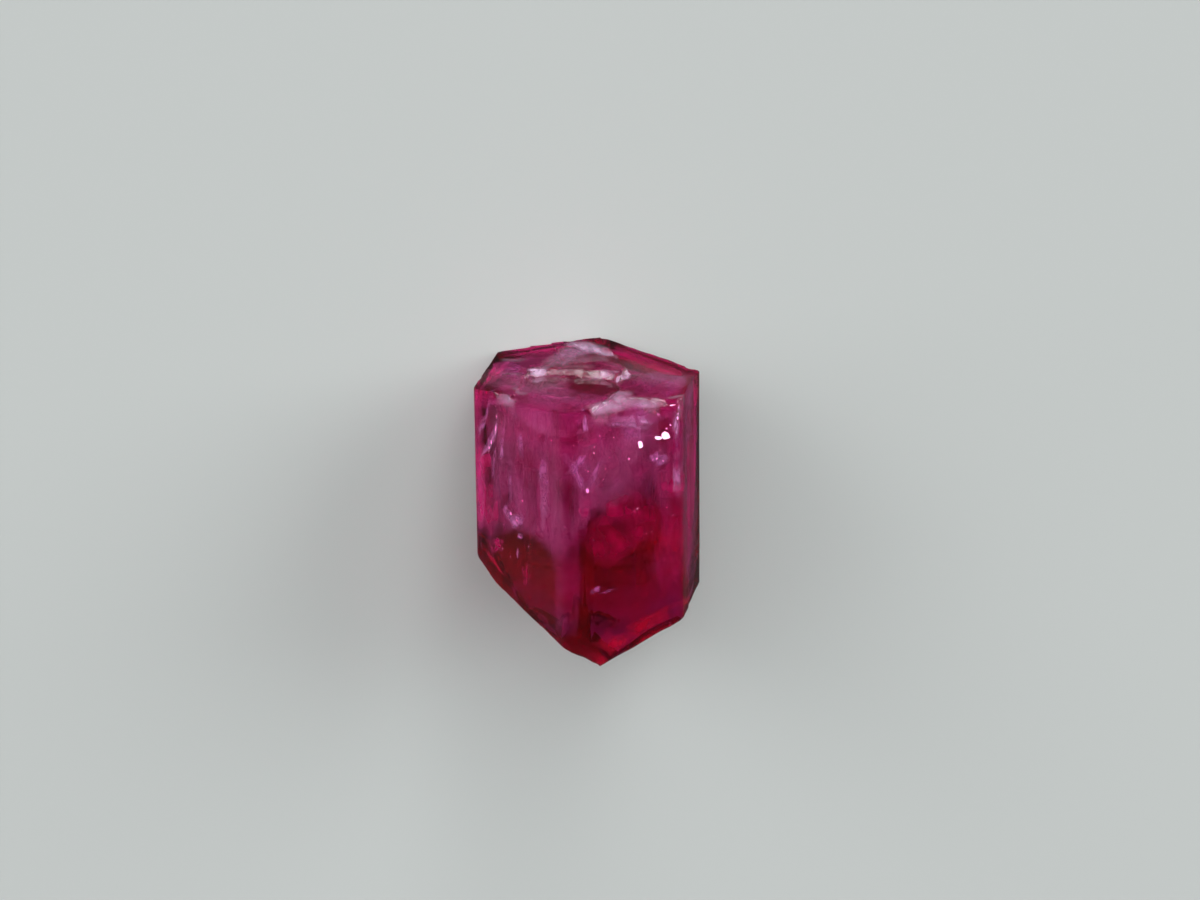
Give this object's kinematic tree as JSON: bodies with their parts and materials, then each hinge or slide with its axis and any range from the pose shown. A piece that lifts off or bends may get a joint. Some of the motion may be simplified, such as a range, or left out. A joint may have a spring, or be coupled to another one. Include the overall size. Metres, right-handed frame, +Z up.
{
  "type": "red beryl crystal",
  "caption": "Loose see-through red beryl crystal: a stout hexagonal prism with a flat, terraced top and a broken wedge-shaped lower end, lying on a prism face.",
  "frame": {"origin": "middle of the crystal's footprint box, on the surface that it lies on", "axes": "+Y along the crystal's long axis towards its flat top, +Z up, away from the prism face that it lies on, +X across the prism"},
  "size_m": [0.0046, 0.0054, 0.004],
  "materials": {
    "beryl": "clear raspberry-red beryl, glassy faces, frosted growth terraces"
  },
  "bodies": {
    "root": {"red_beryl_crystal": "beryl"}
  },
  "joints": []
}
